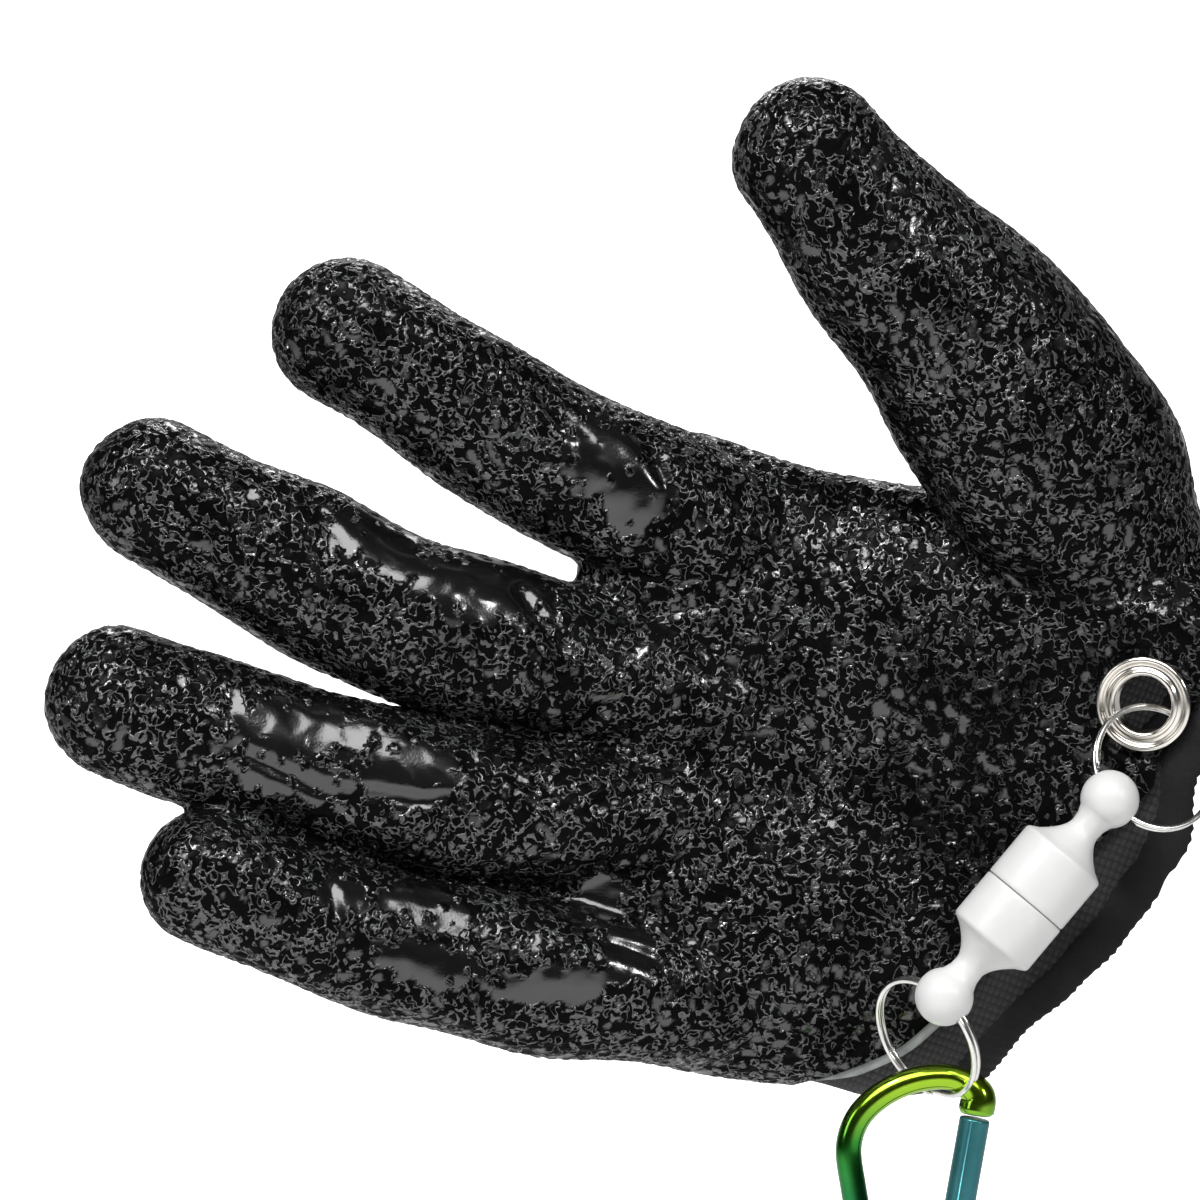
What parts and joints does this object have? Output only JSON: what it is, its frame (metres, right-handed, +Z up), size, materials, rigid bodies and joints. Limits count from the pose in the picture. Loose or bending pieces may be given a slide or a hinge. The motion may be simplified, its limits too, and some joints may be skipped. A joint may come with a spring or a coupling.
{
  "type": "fishing glove",
  "caption": "Knitted fishing glove in its worn form, dipped in crinkled latex, with a rolled hem and a split ring, magnetic release and small carabiner hanging from an eyelet.",
  "frame": {"origin": "middle of the wrist opening, where the glove is held", "axes": "-Y out of the palm towards the viewer, +Z up to the thumb, -X to the fingertips, which rise 20 degrees from the wrist"},
  "size_m": [0.2015, 0.0672, 0.2054],
  "materials": {
    "knit": "matt knitted yarn",
    "hem": "matt overlocked yarn",
    "latex": "crinkled, satin, glossy where it is wet",
    "nickel": "bright nickel plate",
    "ring_steel": "bright plated spring steel",
    "white_plastic": "satin moulded",
    "green_alloy": "green anodised, bright",
    "teal_alloy": "teal anodised, satin",
    "rivet_steel": "satin"
  },
  "bodies": {
    "glove": {"knit_liner": "knit", "latex_coat": "latex", "cuff_hem": "hem", "eyelet": "nickel", "ring_upper": "ring_steel", "release_upper": "white_plastic", "release_lower": "white_plastic", "ring_lower": "ring_steel", "carabiner_body": "green_alloy", "gate_rivet": "rivet_steel"},
    "gate": {"carabiner_gate": "teal_alloy"}
  },
  "joints": [
    {"name": "gate_open", "type": "hinge", "parent": "glove", "child": "gate", "pos_m": [-0.03533, -0.01994, -0.06957], "axis": [0, -1, 0], "range_deg": [0, 26], "stiffness_Nm_per_rad": 0.05, "springref_deg": -20.05}
  ]
}
